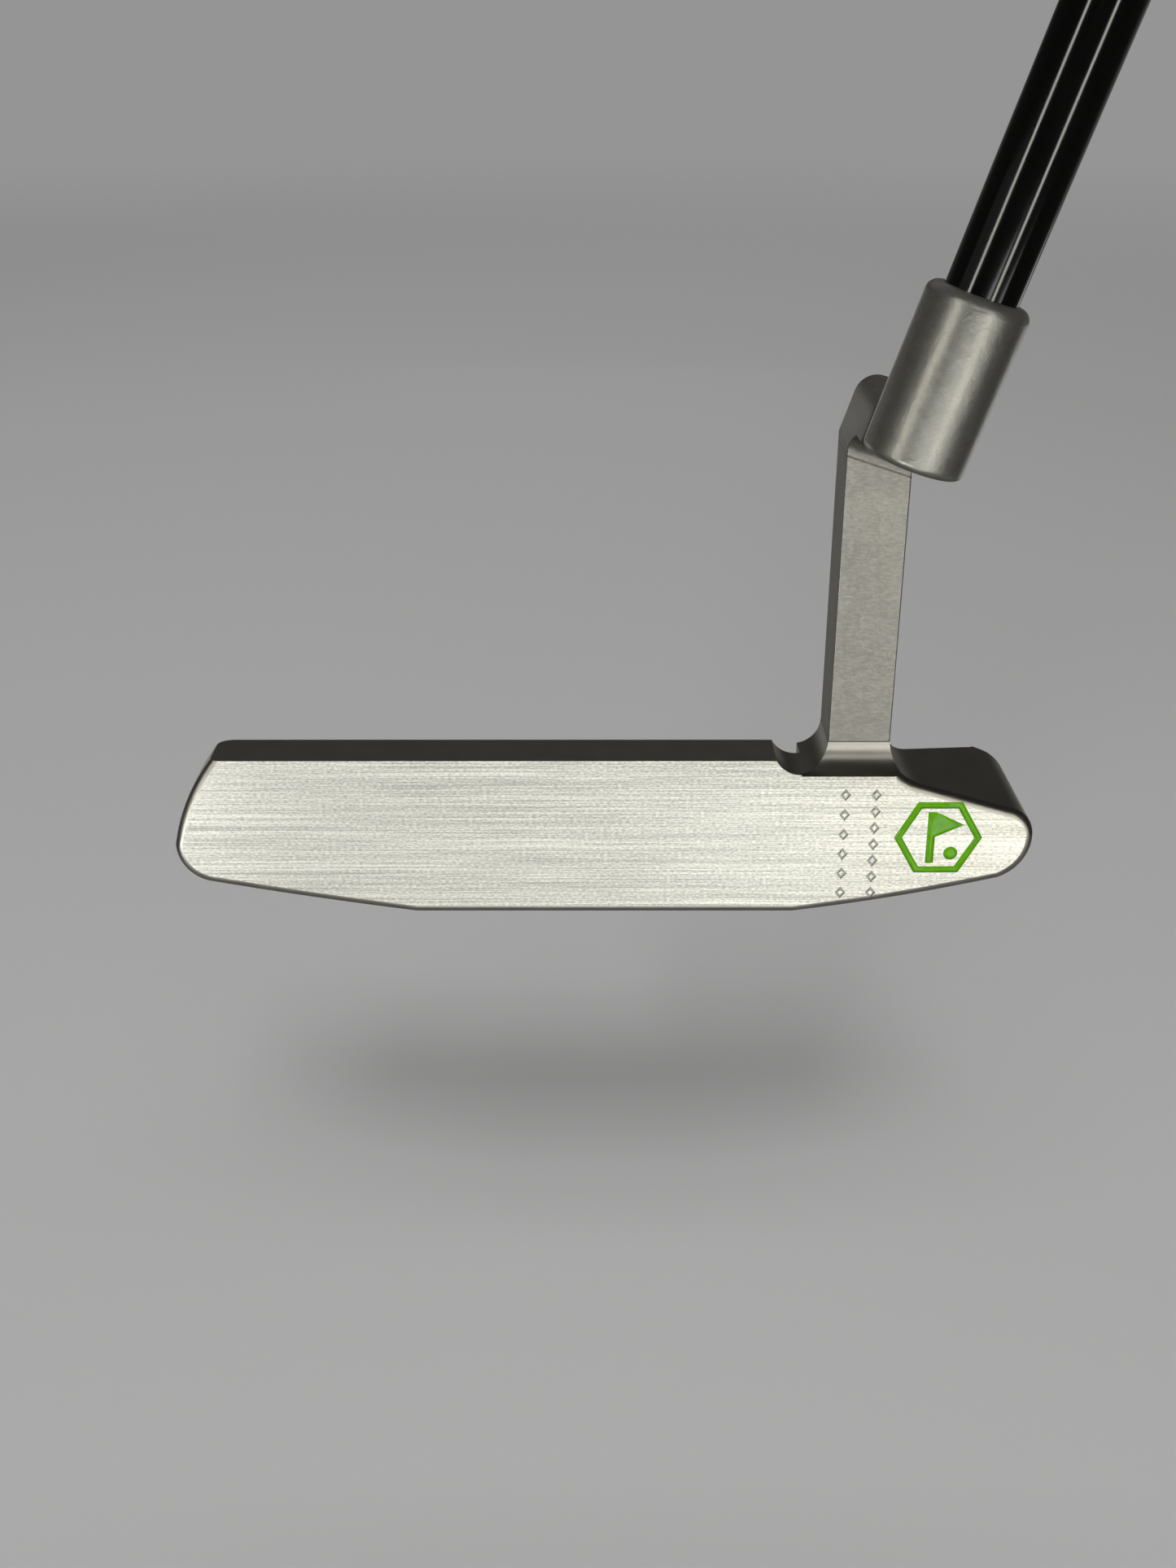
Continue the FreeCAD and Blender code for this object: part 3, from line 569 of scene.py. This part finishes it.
def make_world():
    """An even pale backdrop to the eye. Reflections see a dim room with the backdrop low behind."""
    world = bpy.data.worlds.new("studio")
    bpy.context.scene.world = world
    world.use_nodes = True
    nodes = Nodes(world.node_tree)
    heading = nodes.add("ShaderNodeTexCoord").outputs["Generated"]
    part = nodes.add("ShaderNodeSeparateXYZ", {"Vector": heading}).outputs
    behind = nodes.spread(part[1], 0.3, 0.8, smooth=True)
    low = nodes.spread(part[2], -0.05, 0.22, 1.0, 0.0, smooth=True)
    backdrop = nodes.calc("MULTIPLY", behind, low)
    strength = nodes.spread(backdrop, 0.0, 1.0, ROOM_LIGHT, BACKDROP_GLEAM)
    seen = nodes.add("ShaderNodeLightPath").outputs["Is Camera Ray"]
    pale = nodes.add("ShaderNodeBackground", {"Color": (1.0, 1.0, 1.0), "Strength": BACKDROP})
    dim = nodes.add("ShaderNodeBackground", {"Color": (1.0, 0.98, 0.92), "Strength": strength})
    mixed = nodes.add("ShaderNodeMixShader", {0: seen, 1: dim.outputs[0], 2: pale.outputs[0]})
    nodes.add("ShaderNodeOutputWorld", {"Surface": mixed.outputs[0]})


def area_light(name, spot, facing, upright, size, power, colour=(1.0, 1.0, 1.0)):
    """A soft rectangular light at spot that shines along facing, with its height along upright."""
    light = bpy.data.lights.new(name, "AREA")
    light.shape = "RECTANGLE"
    light.size, light.size_y = size
    light.energy = power
    light.color = colour
    made = new_object(name, light)
    back = -Vector(facing).normalized()
    side = Vector(upright).cross(back).normalized()
    turn = Matrix((side, back.cross(side), back)).transposed()
    made.matrix_world = Matrix.Translation(spot) @ turn.to_4x4()
    made.visible_camera = False
    return made


def strip_light(name, turn):
    """A strip along the shaft line that shines on the hosel from beside the camera: turn is its
    angle about the shaft line from the camera's side, in degrees, positive to the heel."""
    distance = 0.85
    size = (0.10, 0.95)
    lift = 0.15 * size[1]
    power = 1.50
    warm = (1.0, 0.965, 0.90)
    hosel = HOLD - AXIS * (HOLD - HOSEL_TOP).dot(AXIS)
    towards = CAMERA_SPOT - hosel
    towards -= AXIS * towards.dot(AXIS)
    beam = Matrix.Rotation(math.radians(turn), 3, AXIS) @ towards.normalized()
    spot = hosel + beam * distance + AXIS * lift
    return area_light(name, spot, -beam, AXIS, size, power, warm)


def make_lights():
    """Strips and cards that only reflections see, and broad lights that only matt surfaces see."""
    head = Vector((0.0, 0.0, 0.02))
    upright = Vector((0.0, 0.0, 1.0))
    # name: where it is, its width and height, its watts; each faces the head
    cards = {
        "card_toe": ((-0.36, -0.55, -0.17), (0.34, 0.14), 1.02),
        "card_low": ((0.0, -0.55, -0.33), (0.34, 0.14), 0.28),
        "card_middle": ((0.0, -0.55, -0.03), (0.30, 0.14), 0.27),
        "card_heel": ((0.40, -0.55, -0.17), (0.30, 0.14), 0.22),
        "card_right": ((0.10, -0.55, -0.20), (0.16, 0.14), 0.06),
        "card_high": ((0.04, -0.55, 0.33), (0.30, 0.15), 0.20),
        "side_toe": ((-0.7, -0.25, 0.1), (0.4, 0.5), 0.06),
        "back_top": ((0.0, 0.6, 0.5), (0.8, 0.3), 0.08),
        "back_low": ((0.02, 0.9, -0.02), (0.3, 0.2), 0.09),
        "back_toe": ((-0.7, 0.8, -0.2), (0.5, 0.4), 0.30),
        "back_heel": ((0.7, 0.8, -0.35), (0.5, 0.3), 0.30),
    }
    shiny = [strip_light("strip_toe", -37.0), strip_light("strip_heel", 37.0),
             area_light("floor_bounce", (0.0, -0.1, -0.095), upright, (0, 1, 0),
                        (0.6, 0.3), 0.075)]
    shiny += [area_light(name, spot, head - Vector(spot), upright, size, power)
              for name, (spot, size, power) in cards.items()]
    for light in shiny:
        light.visible_diffuse = False

    broad = [area_light("key", (0.0, -1.45, 1.6), (0.0, 1.45, -1.6), upright, (0.55, 0.45), 14.0),
             area_light("front_soft", (0.0, -0.9, 1.0), -upright, (0, 1, 0), (0.9, 0.9), 6.0),
             area_light("far_floor", (0.0, 1.7, 2.2), -upright, (0, 1, 0), (4.0, 2.0), 24.0),
             area_light("back_soft", (-0.6, 1.0, 1.2), (0.84, -1.0, -0.5), upright,
                        (0.6, 0.6), 3.0)]
    for light in broad:
        light.visible_glossy = False


def make_camera():
    """The camera in front of the face and above it, where the photo was taken from."""
    data = bpy.data.cameras.new("camera")
    data.sensor_fit = "AUTO"
    data.sensor_width = 36.0
    data.lens = CAMERA_LENS
    data.clip_start = 0.01
    data.clip_end = 100.0
    camera = new_object("camera", data)
    camera.location = CAMERA_SPOT
    camera.rotation_euler = (0.5 * math.pi - CAMERA_DOWN, 0.0, 0.0)
    bpy.context.scene.camera = camera


# ---------------------------------------------------------------- the whole

finish_cad_nodes()
eased_copy("neck_post", 0.22 * MM, blasted_steel("blasted_neck", NECK_STEEL, 0.30))
enamel_pieces()
detailed_grip(moulded_rubber())
make_floor()
make_world()
make_lights()
make_camera()
bpy.context.scene.view_settings.view_transform = "Standard"
